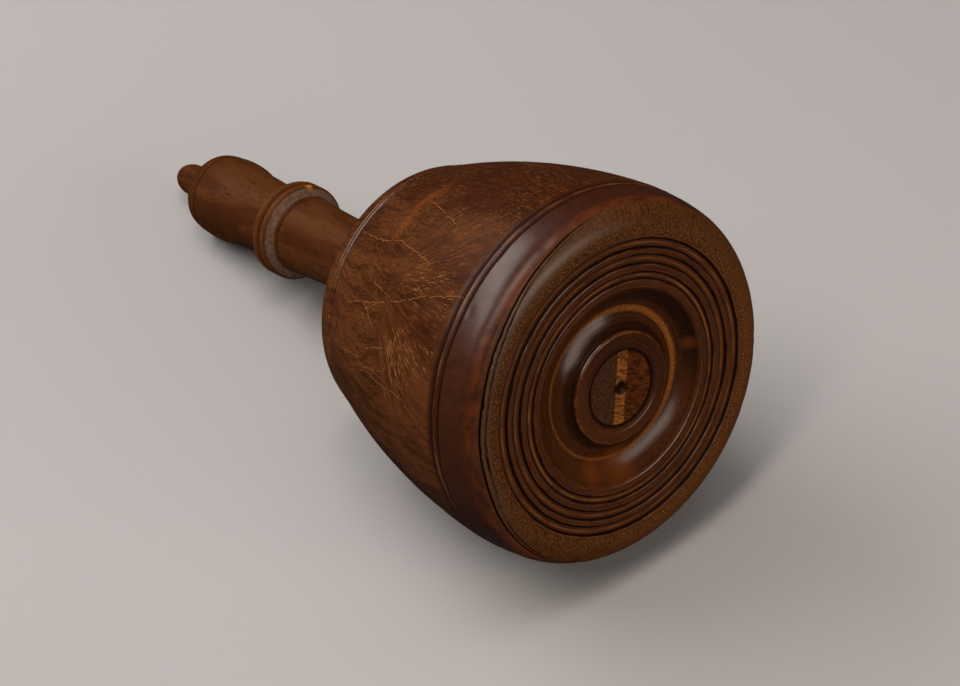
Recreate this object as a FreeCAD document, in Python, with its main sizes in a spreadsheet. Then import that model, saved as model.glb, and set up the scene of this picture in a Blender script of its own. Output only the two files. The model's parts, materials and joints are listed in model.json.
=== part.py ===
import FreeCAD, Part
import math
import os
import re

import Sketcher
from FreeCAD import Vector

# A turned wooden mallet, lying on its side: a bell-shaped head with a ringed striking face, a turned
# handle whose tenon runs right through the head, and the wedge that spreads the tenon in the face.
#
# Each piece is drawn in one shared turning frame, with the lathe axis along +Z: depth 0 is the rim of
# the striking face, and depth grows towards the tip of the handle. One placement then lays all three
# on the ground, face towards -Y, resting on the head's widest ring and on the grip's widest ring.

doc = FreeCAD.newDocument("TurnedMallet")

# ---------------------------------------------------------------------------------------------------
# Driving dimensions, millimetres and degrees. A name ending in _radius is a distance from the lathe
# axis, one ending in _depth is a distance behind the rim of the face, one ending in _cut is how deep
# a groove goes below its own surface, one ending in _sweep is the radius of an arc, and one ending in
# _turn is an angle.
# ---------------------------------------------------------------------------------------------------
DIMENSIONS = {
    # striking face, from the bore outwards
    "bore_radius": 11.25,
    "boss_depth": 0.9,
    "boss_step_radius": 13.0,
    "boss_step_cut": 0.35,
    "boss_edge_radius": 16.4,
    "boss_edge_sweep": 1.6,
    "boss_foot_radius": 17.0,
    "boss_foot_depth": 2.0,
    "dish_radius": 22.4,
    "dish_depth": 4.8,
    "dish_slope_sweep": 16.0,
    "dish_wall_sweep": 14.0,
    "dish_edge_radius": 28.9,
    "dish_edge_depth": 0.75,
    "inner_ring_depth": 0.1,
    "inner_ring_radius": 29.8,
    "inner_groove_radius": 33.05,
    "inner_groove_width": 2.6,
    "inner_groove_cut": 0.5,
    "middle_groove_radius": 37.75,
    "middle_groove_width": 3.2,
    "middle_groove_cut": 0.65,
    "outer_groove_radius": 42.4,
    "outer_groove_width": 3.2,
    "outer_groove_cut": 0.75,
    "groove_wall_run": 0.45,
    # rim and side of the head
    "corner_sweep": 8.1,
    "corner_turn": 80.0,
    "corner_radius": 54.5,
    "corner_depth": "=corner_sweep * (1 - cos(corner_turn))",
    "rim_flat_radius": "=corner_radius - corner_sweep * sin(corner_turn)",
    "band_radius": 55.2,
    "band_sweep": 53.0,
    "widest_radius": 55.45,
    "widest_depth": 18.0,
    "side_bead_sweep": 0.9,
    "side_line_depth": 13.4,
    "side_line_spacing": 2.8,
    "side_line_width": 1.7,
    "side_line_cut": 0.8,
    "bell_sweep": 200.0,
    "shoulder_line_radius": 42.6,
    "shoulder_line_depth": 81.3,
    "shoulder_line_spacing": 2.2,
    "shoulder_line_width": 1.4,
    "shoulder_line_cut": 0.55,
    "shoulder_taper": 0.32,
    "shoulder_bead_sweep": 0.7,
    "heel_radius": 41.0,
    "heel_depth": 86.5,
    "heel_sweep": 3.2,
    "crown_radius": 38.0,
    "crown_depth": 89.5,
    "crown_sweep": 120.0,
    "seat_radius": 15.0,
    "head_length": 92.5,
    # handle
    "tenon_radius": 11.15,
    "tenon_depth": 0.95,
    "neck_radius": 13.4,
    "neck_sweep": 325.0,
    "neck_end_radius": 12.5,
    "collar_depth": 151.8,
    "quirk_radius": 11.9,
    "quirk_depth": 152.8,
    "bevel_inner_radius": 12.7,
    "bevel_inner_depth": 153.9,
    "bevel_outer_radius": 15.0,
    "bevel_outer_depth": 155.4,
    "bead_radius": 15.3,
    "bead_sweep": 1.7,
    "bead_end_depth": 158.0,
    "collar_groove_radius": 14.5,
    "collar_groove_depth": 158.8,
    "lip_radius": 15.4,
    "lip_depth": 159.5,
    "lip_end_depth": 161.6,
    "lip_sweep": 1.6,
    "cove_sweep": 5.0,
    "grip_waist_radius": 11.6,
    "grip_waist_depth": 165.2,
    "grip_swell_radius": 12.9,
    "grip_swell_depth": 186.0,
    "grip_swell_sweep": 400.0,
    "grip_bulge_sweep": 32.0,
    "end_line_radius": 13.55,
    "end_line_depth": 199.6,
    "end_line_width": 1.3,
    "end_line_cut": 0.75,
    "end_edge_radius": 13.1,
    "end_edge_depth": 202.9,
    "end_round_radius": 10.5,
    "end_round_depth": 205.6,
    "end_round_sweep": 3.4,
    "knob_foot_radius": 6.3,
    "knob_foot_depth": 206.4,
    "knob_radius": 5.9,
    "knob_depth": 208.4,
    "knob_sweep": 30.0,
    "knob_shoulder_radius": 5.1,
    "knob_shoulder_depth": 218.0,
    "knob_round_sweep": 9.6,
    "tip_radius": 2.2,
    "tip_cut": 0.9,
    "tip_sweep": "=(tip_radius ^ 2 + tip_cut ^ 2) / (2 * tip_cut)",
    "overall_length": 227.5,
    # wedge and its kerf
    "wedge_thickness": 3.9,
    "wedge_point_thickness": 1.3,
    "wedge_end_depth": 43.0,
    "kerf_end_depth": 46.0,
    "kerf_gap": 0.05,
    "centre_mark_radius": 1.85,
    "centre_mark_cut": 2.6,
    "wedge_turn": 14.5,
}


def arc_turn(radius, depth, end_radius, end_depth, sweep):
    """How far the normal of an arc's first end leans towards the handle, in degrees, as a formula."""
    run = f"({end_depth} - {depth})"
    fall = f"({radius} - {end_radius})"
    return f"atan({fall} / {run}) - asin(sqrt({run} ^ 2 + {fall} ^ 2) / (2 * {sweep}))"


# The mallet lies on a line that touches two arcs of its outline: the bell's, and the round at the end
# of the grip. The first cells find the two arcs' centres, and the rest the lie that follows.
DIMENSIONS.update({
    "bell_end_radius": "=shoulder_line_radius + shoulder_taper * shoulder_line_width / 2",
    "bell_end_depth": "=shoulder_line_depth - shoulder_line_width / 2",
    "bell_turn": "=" + arc_turn("widest_radius", "widest_depth", "bell_end_radius", "bell_end_depth",
                                "bell_sweep"),
    "bell_centre_radius": "=widest_radius - bell_sweep * cos(bell_turn)",
    "bell_centre_depth": "=widest_depth - bell_sweep * sin(bell_turn)",
    "end_turn": "=" + arc_turn("end_edge_radius", "end_edge_depth", "end_round_radius",
                               "end_round_depth", "end_round_sweep"),
    "end_centre_radius": "=end_edge_radius - end_round_sweep * cos(end_turn)",
    "end_centre_depth": "=end_edge_depth - end_round_sweep * sin(end_turn)",
    "centre_rise": "=end_centre_radius - bell_centre_radius",
    "centre_run": "=end_centre_depth - bell_centre_depth",
    "centre_span": "=sqrt(centre_rise ^ 2 + centre_run ^ 2)",
    "lie_tilt": "=asin((bell_sweep - end_round_sweep) / centre_span) - atan(centre_rise / centre_run)",
    "lie_rise": "=bell_sweep + bell_centre_depth * sin(lie_tilt) + bell_centre_radius * cos(lie_tilt)",
    "face_front": "=corner_sweep * (1 - cos(lie_tilt)) + rim_flat_radius * sin(lie_tilt)",
    "lie_back": "=(overall_length * cos(lie_tilt) - face_front) / 2",
})

sheet = doc.addObject("Spreadsheet::Sheet", "Dimensions")
for row, (alias, entry) in enumerate(DIMENSIONS.items(), start=1):
    sheet.set(f"A{row}", alias)
    sheet.set(f"B{row}", str(entry))
    sheet.setAlias(f"B{row}", alias)
doc.recompute()


def bound(formula):
    """A formula of the sheet's names, with each name written as a reference to its cell."""
    def refer(word):
        return f"{sheet.Name}.{word[0]}" if word[0] in DIMENSIONS else word[0]
    return re.sub(r"[a-z_]+", refer, formula)


def number(formula):
    """What a formula of the sheet's names comes to now."""
    return float(sheet.evalExpression(bound(formula)))


# ---------------------------------------------------------------------------------------------------
# Outlines: a closed chain of lines and arcs in a body's own XZ plane. Sketch x is the radius and
# sketch y the depth. The chain runs with the wood on its left.
# ---------------------------------------------------------------------------------------------------
SKETCH_ORIGIN = (-1, 1)
SKETCH_X_AXIS = -1
SKETCH_Y_AXIS = -2


class Outline:
    def __init__(self, body, name):
        self.sketch = body.newObject("Sketcher::SketchObject", name)
        planes = [plane for plane in body.Origin.OriginFeatures if plane.Role == "XZ_Plane"]
        self.sketch.AttachmentSupport = (planes[0], [""])
        self.sketch.MapMode = "FlatFace"

    def start(self, radius, depth):
        self.first_point = (radius, depth)
        self.point = self.first_point
        self.first_end = None
        self.last_end = None
        return self

    def line(self, radius, depth):
        """A straight stretch to the point at this radius and depth."""
        begin, end = self.vectors(radius, depth)
        edge = self.sketch.addGeometry(Part.LineSegment(begin, end), False)
        self.join(edge, 1, 2, radius, depth)
        return self

    def arc(self, radius, depth, sweep, hollow=False):
        """An arc of radius sweep, bulging out of the wood, or into the wood where it is hollow."""
        begin, end = self.vectors(radius, depth)
        chord = end - begin
        towards_wood = Vector(-chord.y, chord.x, 0).normalize()
        reach = math.sqrt(number(sweep) ** 2 - (chord.Length / 2) ** 2)
        centre = (begin + end) / 2 + towards_wood * (-reach if hollow else reach)
        ends = (end, begin) if hollow else (begin, end)
        angles = [math.atan2(point.y - centre.y, point.x - centre.x) for point in ends]
        circle = Part.Circle(centre, Vector(0, 0, 1), number(sweep))
        edge = self.sketch.addGeometry(Part.ArcOfCircle(circle, *angles), False)
        self.bind("Radius", (edge,), sweep)
        tail, head = (2, 1) if hollow else (1, 2)
        self.join(edge, tail, head, radius, depth)
        return self

    def close(self):
        """A straight stretch back to the first point."""
        self.line(*self.first_point)

    def vectors(self, radius, depth):
        """The chain's present point and the next one, as vectors of the sketch."""
        return [Vector(number(x), number(y), 0) for x, y in (self.point, (radius, depth))]

    def join(self, edge, tail, head, radius, depth):
        """Ties the new edge's tail to the chain, and its head to its own radius and depth."""
        if self.last_end is None:
            self.first_end = (edge, tail)
            self.place(edge, tail, *self.first_point)
        else:
            self.meet(self.last_end, (edge, tail))
        if (radius, depth) == self.first_point:
            self.meet((edge, head), self.first_end)
        else:
            self.place(edge, head, radius, depth)
        self.point = (radius, depth)
        self.last_end = (edge, head)

    def meet(self, one_end, other_end):
        self.sketch.addConstraint(Sketcher.Constraint("Coincident", *one_end, *other_end))

    def place(self, edge, end, radius, depth):
        """Holds one end of an edge at a radius and a depth. A leading minus is the far side."""
        for kind, axis, formula in (("DistanceX", SKETCH_Y_AXIS, radius),
                                    ("DistanceY", SKETCH_X_AXIS, depth)):
            if formula == "0":
                self.sketch.addConstraint(Sketcher.Constraint("PointOnObject", edge, end, axis))
            elif formula.startswith("-"):
                self.bind(kind, (edge, end, *SKETCH_ORIGIN), formula[1:])
            else:
                self.bind(kind, (*SKETCH_ORIGIN, edge, end), formula)

    def bind(self, kind, references, formula):
        """Adds a constraint whose size follows a formula of the sheet's names."""
        constraint = Sketcher.Constraint(kind, *references, number(formula))
        index = self.sketch.addConstraint(constraint)
        self.sketch.setExpression(f"Constraints[{index}]", bound(formula))


# ---------------------------------------------------------------------------------------------------
# Features that the pieces share
# ---------------------------------------------------------------------------------------------------
PIECES = []


def new_body(label):
    """A body with its own label, laid on the ground by the placement that all the pieces share."""
    body = doc.addObject("PartDesign::Body", label)
    body.Label = label
    body.setExpression("Placement", bound(
        "placement(vector(0; -lie_back; lie_rise);"
        " rotation(vector(1; 0; 0); -90 deg - lie_tilt) * rotation(vector(0; 0; 1); wedge_turn))"))
    PIECES.append(body)
    return body


def turn(body, kind, name, outline):
    """A full Revolution or Groove of an outline about the lathe axis."""
    feature = body.newObject(f"PartDesign::{kind}", name)
    feature.Profile = outline.sketch
    feature.ReferenceAxis = (outline.sketch, ["V_Axis"])
    feature.Angle = 360
    outline.sketch.Visibility = False
    doc.recompute()
    return feature


def across(body, kind, name, outline, width):
    """A Pad or Pocket of an outline, reaching equally far to both sides of its plane."""
    feature = body.newObject(f"PartDesign::{kind}", name)
    feature.Profile = outline.sketch
    feature.SideType = "Symmetric"
    feature.setExpression("Length", bound(width))
    doc.recompute()
    return feature


def check_cut(body, volume_before, name):
    """Stops the build when a Pocket or Groove took nothing away."""
    if body.Shape.Volume > volume_before - 1e-3:
        raise RuntimeError(f"{name} removes nothing")


def face_groove(outline, ring, depth):
    """A flat-bottomed groove turned into the face: down its near wall, over its floor and up again."""
    near = f"{ring}_groove_radius - {ring}_groove_width / 2"
    far = f"{ring}_groove_radius + {ring}_groove_width / 2"
    floor_depth = f"{depth} + {ring}_groove_cut"
    outline.line(near, depth)
    outline.line(f"{near} + groove_wall_run", floor_depth)
    outline.line(f"{far} - groove_wall_run", floor_depth)
    outline.line(far, depth)


# ---------------------------------------------------------------------------------------------------
# Head: one solid bell, end grain on its face, bored through for the tenon
# ---------------------------------------------------------------------------------------------------
def draw_face(outline):
    """From the bore out to the flat of the rim."""
    boss_top = "boss_depth - boss_step_cut"
    outline.line("boss_step_radius", "boss_depth")
    outline.line("boss_step_radius + boss_step_cut", boss_top)
    outline.line("boss_edge_radius", boss_top)
    outline.arc("boss_foot_radius", "boss_foot_depth", "boss_edge_sweep")
    outline.arc("dish_radius", "dish_depth", "dish_slope_sweep", hollow=True)
    outline.arc("dish_edge_radius", "dish_edge_depth", "dish_wall_sweep", hollow=True)
    outline.line("inner_ring_radius", "inner_ring_depth")
    face_groove(outline, "inner", "inner_ring_depth")
    face_groove(outline, "middle", "inner_ring_depth")
    face_groove(outline, "outer", "0")
    outline.line("rim_flat_radius", "0")


def draw_side(outline):
    """From the rim over the corner, past the twin lines and along the bell to the shoulder."""
    outline.arc("corner_radius", "corner_depth", "corner_sweep")
    line_start = "side_line_depth - side_line_width / 2"
    outline.arc("band_radius", line_start, "band_sweep")
    outline.line("band_radius - side_line_cut", "side_line_depth")
    outline.line("band_radius", "side_line_depth + side_line_width / 2")
    outline.arc("band_radius", f"{line_start} + side_line_spacing", "side_bead_sweep")
    outline.line("band_radius - side_line_cut", "side_line_depth + side_line_spacing")
    outline.line("band_radius", "side_line_depth + side_line_width / 2 + side_line_spacing")
    outline.line("widest_radius", "widest_depth")
    outline.arc("bell_end_radius", "bell_end_depth", "bell_sweep")


def draw_shoulder(outline):
    """The second pair of lines, and the round over to the back of the head."""
    def edge_radius(run):
        return f"shoulder_line_radius - shoulder_taper * ({run})"
    half = "shoulder_line_width / 2"
    outline.line("shoulder_line_radius - shoulder_line_cut", "shoulder_line_depth")
    outline.line(edge_radius(half), f"shoulder_line_depth + {half}")
    outline.arc(edge_radius(f"shoulder_line_spacing - {half}"),
                f"shoulder_line_depth + shoulder_line_spacing - {half}", "shoulder_bead_sweep")
    outline.line(f"{edge_radius('shoulder_line_spacing')} - shoulder_line_cut",
                 "shoulder_line_depth + shoulder_line_spacing")
    outline.line(edge_radius(f"shoulder_line_spacing + {half}"),
                 f"shoulder_line_depth + shoulder_line_spacing + {half}")
    outline.line("heel_radius", "heel_depth")
    outline.arc("crown_radius", "crown_depth", "heel_sweep")
    outline.arc("seat_radius", "head_length", "crown_sweep")
    outline.line("bore_radius", "head_length")


def build_head():
    body = new_body("head")
    outline = Outline(body, "head_outline").start("bore_radius", "boss_depth")
    draw_face(outline)
    draw_side(outline)
    draw_shoulder(outline)
    outline.close()
    turn(body, "Revolution", "head_turning", outline)


# ---------------------------------------------------------------------------------------------------
# Handle: tenon, neck, collar, grip and knob turned from one piece, with a kerf sawn in the tenon
# ---------------------------------------------------------------------------------------------------
def draw_neck(outline):
    outline.line("tenon_radius", "tenon_depth")
    outline.line("tenon_radius", "head_length")
    outline.line("neck_radius", "head_length")
    outline.arc("neck_end_radius", "collar_depth", "neck_sweep", hollow=True)


def draw_collar(outline):
    """The quirk, the bevel, the bead, the fine groove and the lip, going towards the grip."""
    outline.line("quirk_radius", "quirk_depth")
    outline.line("bevel_inner_radius", "bevel_inner_depth")
    outline.line("bevel_outer_radius", "bevel_outer_depth")
    outline.arc("bead_radius", "bead_end_depth", "bead_sweep")
    outline.line("collar_groove_radius", "collar_groove_depth")
    outline.line("lip_radius", "lip_depth")
    outline.arc("lip_radius", "lip_end_depth", "lip_sweep")
    outline.arc("grip_waist_radius", "grip_waist_depth", "cove_sweep", hollow=True)


def draw_grip(outline):
    outline.arc("grip_swell_radius", "grip_swell_depth", "grip_swell_sweep", hollow=True)
    outline.arc("end_line_radius", "end_line_depth - end_line_width / 2", "grip_bulge_sweep")
    outline.line("end_line_radius - end_line_cut", "end_line_depth")
    outline.line("end_line_radius", "end_line_depth + end_line_width / 2")
    outline.line("end_edge_radius", "end_edge_depth")
    outline.arc("end_round_radius", "end_round_depth", "end_round_sweep")


def draw_knob(outline):
    outline.line("knob_foot_radius", "knob_foot_depth")
    outline.line("knob_radius", "knob_depth")
    outline.arc("knob_shoulder_radius", "knob_shoulder_depth", "knob_sweep")
    outline.arc("tip_radius", "overall_length - tip_cut", "knob_round_sweep")
    outline.arc("0", "overall_length", "tip_sweep")


def draw_taper(outline, gap, end_depth):
    """The wedge's long taper seen from its edge, from just before the face down to end_depth."""
    slope = "(wedge_thickness - wedge_point_thickness) / 2 / (wedge_end_depth - tenon_depth)"
    face_half = f"wedge_thickness / 2 + {gap}"
    end_half = f"{face_half} - {slope} * ({end_depth} - tenon_depth)"
    outline.start(f"-({face_half})", "tenon_depth")
    outline.line(face_half, "tenon_depth")
    outline.line(end_half, end_depth)
    outline.line(f"-({end_half})", end_depth)
    outline.close()


def build_handle():
    body = new_body("handle")
    outline = Outline(body, "handle_outline").start("0", "tenon_depth")
    draw_neck(outline)
    draw_collar(outline)
    draw_grip(outline)
    draw_knob(outline)
    outline.close()
    turn(body, "Revolution", "handle_turning", outline)
    volume = body.Shape.Volume
    kerf = Outline(body, "kerf_outline")
    draw_taper(kerf, "kerf_gap", "kerf_end_depth")
    across(body, "Pocket", "kerf", kerf, "4 * tenon_radius")
    check_cut(body, volume, "kerf")


# ---------------------------------------------------------------------------------------------------
# Wedge: a thin tapered slip of wood as wide as the tenon, trimmed round and flush with the tenon's
# end, with the lathe's centre mark in its middle
# ---------------------------------------------------------------------------------------------------
def build_wedge():
    body = new_body("wedge")
    taper = Outline(body, "wedge_outline")
    draw_taper(taper, "0", "wedge_end_depth")
    across(body, "Pad", "wedge_slip", taper, "3 * tenon_radius")

    volume = body.Shape.Volume
    trim = Outline(body, "trim_outline").start("tenon_radius", "tenon_depth - 1")
    trim.line("2 * tenon_radius", "tenon_depth - 1")
    trim.line("2 * tenon_radius", "wedge_end_depth + 1")
    trim.line("tenon_radius", "wedge_end_depth + 1")
    trim.close()
    turn(body, "Groove", "trim_to_tenon", trim)
    check_cut(body, volume, "trim_to_tenon")

    volume = body.Shape.Volume
    mark = Outline(body, "centre_mark_outline").start("0", "tenon_depth - 0.01")
    mark.line("centre_mark_radius", "tenon_depth - 0.01")
    mark.line("0", "tenon_depth + centre_mark_cut")
    mark.close()
    turn(body, "Groove", "centre_mark", mark)
    check_cut(body, volume, "centre_mark")


build_head()
build_handle()
build_wedge()
doc.recompute()

for item in doc.Objects:
    if "Invalid" in item.State or "Error" in item.State:
        raise RuntimeError(f"{item.Label} failed: {item.State}")
for piece in PIECES:
    if piece.Shape.isNull() or not piece.Shape.isValid() or len(piece.Shape.Solids) != 1:
        raise RuntimeError(f"{piece.Label} is not one good solid")

os.makedirs("parts", exist_ok=True)
for piece in PIECES:
    piece.Shape.exportStep(f"parts/{piece.Label}.step")
    print(f"{piece.Label}: {piece.Shape.Volume / 1000:.1f} cm3, {piece.Shape.BoundBox}")
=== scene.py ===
import json
import math
from functools import partial, reduce
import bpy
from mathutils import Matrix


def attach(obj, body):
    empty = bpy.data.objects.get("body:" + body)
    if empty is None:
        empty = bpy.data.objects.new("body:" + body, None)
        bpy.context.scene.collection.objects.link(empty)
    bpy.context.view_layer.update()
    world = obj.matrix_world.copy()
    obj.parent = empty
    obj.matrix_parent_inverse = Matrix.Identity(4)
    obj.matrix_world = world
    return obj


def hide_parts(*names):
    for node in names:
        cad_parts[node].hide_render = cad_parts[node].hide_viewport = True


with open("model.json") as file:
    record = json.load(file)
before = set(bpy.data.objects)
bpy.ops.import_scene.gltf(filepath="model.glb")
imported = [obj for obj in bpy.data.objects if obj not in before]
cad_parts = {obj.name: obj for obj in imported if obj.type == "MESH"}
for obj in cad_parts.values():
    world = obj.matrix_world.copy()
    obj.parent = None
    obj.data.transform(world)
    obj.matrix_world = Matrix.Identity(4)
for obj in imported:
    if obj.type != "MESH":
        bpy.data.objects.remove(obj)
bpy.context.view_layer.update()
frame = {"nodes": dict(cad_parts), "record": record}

from types import SimpleNamespace

import bmesh
import bpy
import numpy as np
from mathutils import Vector
from mathutils.kdtree import KDTree

# The looks of a turned wooden mallet that lies on its side. The three pieces, head, handle and wedge,
# are turned again here from the outlines of their CAD nodes, with softened edges, wear and wood grain.
#
# Shapes are worked out in millimetres in the turning frame: radius, angle and depth. The angle is 0
# towards world +X and 90 degrees upwards; depth is 0 at the rim of the face and grows to the handle.
MM = 0.001
SEED = 11

FACE = frame["record"]["mounts"][0]
FACE_OUT = np.array(FACE["axis"])
ACROSS = np.array([1.0, 0.0, 0.0])
RISE = np.cross(FACE_OUT, ACROSS)
FACE_CENTRE = np.array([0.0, FACE["pos_m"][1], FACE["pos_m"][2]]) / MM


# ---- Turning frame ----
def to_turning(points):
    """World points in metres as x, y and depth in the turning frame, in millimetres."""
    local = np.asarray(points) / MM - FACE_CENTRE
    return np.stack([local @ ACROSS, local @ RISE, -local @ FACE_OUT], axis=-1)


def to_world(turned):
    """Turning-frame x, y and depth in millimetres as world points in metres."""
    x, y, depth = (turned[..., i, None] for i in range(3))
    return (FACE_CENTRE + x * ACROSS + y * RISE - depth * FACE_OUT) * MM


def turned_points(mesh):
    """The mesh's vertices in the turning frame."""
    return to_turning(np.array([vertex.co for vertex in mesh.vertices]))


def seam_angle(node):
    """The angle of the one meridian that runs along the whole outline of a turned CAD node."""
    points = turned_points(frame["nodes"][node].data)
    edges = np.array([edge.vertices[:] for edge in frame["nodes"][node].data.edges])
    first, last = points[edges[:, 0]], points[edges[:, 1]]
    outer = np.where((np.hypot(*first[:, :2].T) > np.hypot(*last[:, :2].T))[:, None], first, last)
    flat = np.abs(first[:, 0] * last[:, 1] - first[:, 1] * last[:, 0]) < 0.01
    length = np.linalg.norm(first - last, axis=1)
    spans = {}
    for point, size in zip(outer[flat], length[flat]):
        key = round(math.degrees(math.atan2(point[1], point[0])), 1)
        spans[key] = spans.get(key, 0.0) + size
    return max(spans, key=spans.get)


SEAM = seam_angle("head")


def seam_outline(node):
    """Radius and depth of the outline of a turned CAD node, in order, and whether it is a ring."""
    points = turned_points(frame["nodes"][node].data)
    radius, angle = np.hypot(points[:, 0], points[:, 1]), np.degrees(np.arctan2(points[:, 1], points[:, 0]))
    on_seam = (np.abs(angle - SEAM) < 0.05) | (radius < 0.001)
    links = {}
    for edge in frame["nodes"][node].data.edges:
        a, b = edge.vertices
        ends = [(round(radius[i], 3), round(points[i, 2], 3)) for i in (a, b)]
        if on_seam[a] and on_seam[b] and ends[0] != ends[1]:
            links.setdefault(ends[0], set()).add(ends[1])
            links.setdefault(ends[1], set()).add(ends[0])
    loose = sorted(key for key, others in links.items() if len(others) == 1)
    chain = [loose[0] if loose else min(links)]
    while True:
        ahead = [key for key in sorted(links[chain[-1]]) if key not in chain[-2:]]
        if not ahead or ahead[0] == chain[0]:
            break
        chain.append(ahead[0])
    if loose:
        # where the kerf crosses the end of the tenon there is no seam, so the end is closed to the axis
        chain = [(0.0, end[1]) for end in chain[:1] if end[0] > 0] + chain
        chain = chain + [(0.0, end[1]) for end in chain[-1:] if end[0] > 0]
    return np.array(chain), not loose


# ---- Outlines: from the CAD's chords to an even, fine and slightly softened curve ----
FINE_STEP = 0.1
CORNER_TURN = 12.0
EDGE_REACH = 0.4
GROOVE_REACH = 1.8
WIDEST_GROOVE = 5.0
DISH_RADIUS = 22.4
FAR_OFF = 9.0


def curve_through(points):
    """Fine points on a smooth curve through a run of points that has no corner inside it."""
    chord = np.linalg.norm(np.diff(points, axis=0), axis=1)
    slope = np.diff(points, axis=0) / chord[:, None]
    tangent = np.empty_like(points)
    if len(points) == 2:
        tangent[:] = slope[0]
    else:
        weight = chord[:-1, None] / (chord[:-1] + chord[1:])[:, None]
        tangent[1:-1] = slope[:-1] * (1 - weight) + slope[1:] * weight
        tangent[0] = 2 * slope[0] - tangent[1]
        tangent[-1] = 2 * slope[-1] - tangent[-2]
    pieces = []
    for i, size in enumerate(chord):
        u = np.arange(0, 1, 1 / max(1, round(size / FINE_STEP)))[:, None]
        onward = 3 * u ** 2 - 2 * u ** 3
        pieces.append((1 - onward) * points[i] + (u ** 3 - 2 * u ** 2 + u) * size * tangent[i]
                      + onward * points[i + 1] + (u ** 3 - u ** 2) * size * tangent[i + 1])
    return np.concatenate(pieces)


def fine_outline(points, ring):
    """The whole outline at FINE_STEP, with every CAD corner still sharp."""
    if ring:
        points = np.concatenate([points, points[:1]])
    steps = np.diff(points, axis=0)
    heading = np.degrees(np.arctan2(steps[:, 1], steps[:, 0]))
    turn = np.abs((np.diff(heading) + 180) % 360 - 180)
    corners = [0] + [i + 1 for i, size in enumerate(turn) if size > CORNER_TURN] + [len(points) - 1]
    runs = [curve_through(points[a:b + 1]) for a, b in zip(corners, corners[1:])]
    return np.concatenate(runs if ring else runs + [points[-1:]])


def blurred(points, reach, ring):
    """Points averaged along the outline with a bell-shaped weight of this reach in millimetres."""
    half = int(math.ceil(3 * reach / FINE_STEP))
    weight = np.exp(-0.5 * (np.arange(-half, half + 1) * FINE_STEP / reach) ** 2)
    weight /= weight.sum()
    if ring:
        padded = np.concatenate([points[-half:], points, points[:half]])
    else:
        head = 2 * points[0] - points[half:0:-1]
        tail = 2 * points[-1] - points[-2:-half - 2:-1]
        padded = np.concatenate([head, points, tail])
    return np.stack([np.convolve(column, weight, mode="valid") for column in padded.T], axis=1)


class Outline:
    """A node's outline, its outward normals, its rings of vertices, and measures of each point: how
    hollow and how proud it stands, how steep a groove's wall is there, and how far it is from the
    nearest middle of a groove and from the dish's lowest line."""

    def __init__(self, node, softness, spacing_at):
        chain, self.ring = seam_outline(node)
        self.points = blurred(fine_outline(chain, self.ring), softness, self.ring)
        ahead = np.gradient(self.points, axis=0)
        ahead /= np.linalg.norm(ahead, axis=1)[:, None]
        self.normals = np.stack([ahead[:, 1], -ahead[:, 0]], axis=1)
        if self.normals[np.argmax(self.points[:, 0]), 0] < 0:
            self.normals = -self.normals
        lift = self.lift(EDGE_REACH)
        self.hollow = np.clip(lift, 0, None)
        self.proud = np.clip(-lift, 0, None)
        smooth = np.gradient(blurred(self.points, GROOVE_REACH, self.ring), axis=0)
        smooth /= np.linalg.norm(smooth, axis=1)[:, None]
        wall = np.sqrt(np.clip(1 - (smooth * ahead).sum(axis=1) ** 2, 0, 1))
        on_dish = np.where((abs(self.points[:, 0] - DISH_RADIUS) < 5.0) & (self.points[:, 1] < 8.0))[0]
        lowest = [on_dish[np.argmax(self.points[on_dish, 1])]] if len(on_dish) else []
        self.measures = {"hollow": self.hollow, "proud": self.proud, "wall": wall,
                         "middle": self.to_nearest(self.groove_middles()),
                         "valley": self.to_nearest(lowest)}
        self.picked = self.rings(spacing_at)

    def lift(self, reach):
        """How far the blurred outline lies outside the real one, at each point."""
        return ((blurred(self.points, reach, self.ring) - self.points) * self.normals).sum(axis=1)

    def groove_middles(self):
        """Indices at the middles of the narrow hollows."""
        inside = np.where(self.lift(GROOVE_REACH) > 0.05)[0]
        runs = np.split(inside, np.where(np.diff(inside) > 1)[0] + 1)
        return [int(run.mean()) for run in runs if 0 < len(run) * FINE_STEP < WIDEST_GROOVE]

    def to_nearest(self, indices):
        """Distance along the outline to the nearest of some of its points, at most FAR_OFF."""
        places = np.arange(len(self.points)) * FINE_STEP
        away = [np.abs(places - i * FINE_STEP) for i in indices]
        return np.minimum.reduce(away + [np.full(len(places), FAR_OFF)])

    def rings(self, spacing_at):
        """Indices of the outline's points that carry a ring of vertices, closer at every edge."""
        spacing = np.array([spacing_at(*point) for point in self.points])
        sharp = np.clip((self.hollow + self.proud) / 0.03, 0, 1)
        reach = int(0.4 / FINE_STEP)
        sharp = np.array([sharp[max(0, i - reach):i + reach + 1].max() for i in range(len(sharp))])
        spacing = spacing * (1 - sharp) + np.minimum(spacing, 0.2) * sharp
        travelled = np.cumsum(FINE_STEP / spacing)
        picks = np.searchsorted(travelled, np.arange(travelled[0], travelled[-1], 1.0))
        picks = np.unique(np.append(picks, len(spacing) - 1))
        return picks[:-1] if self.ring else picks


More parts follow.
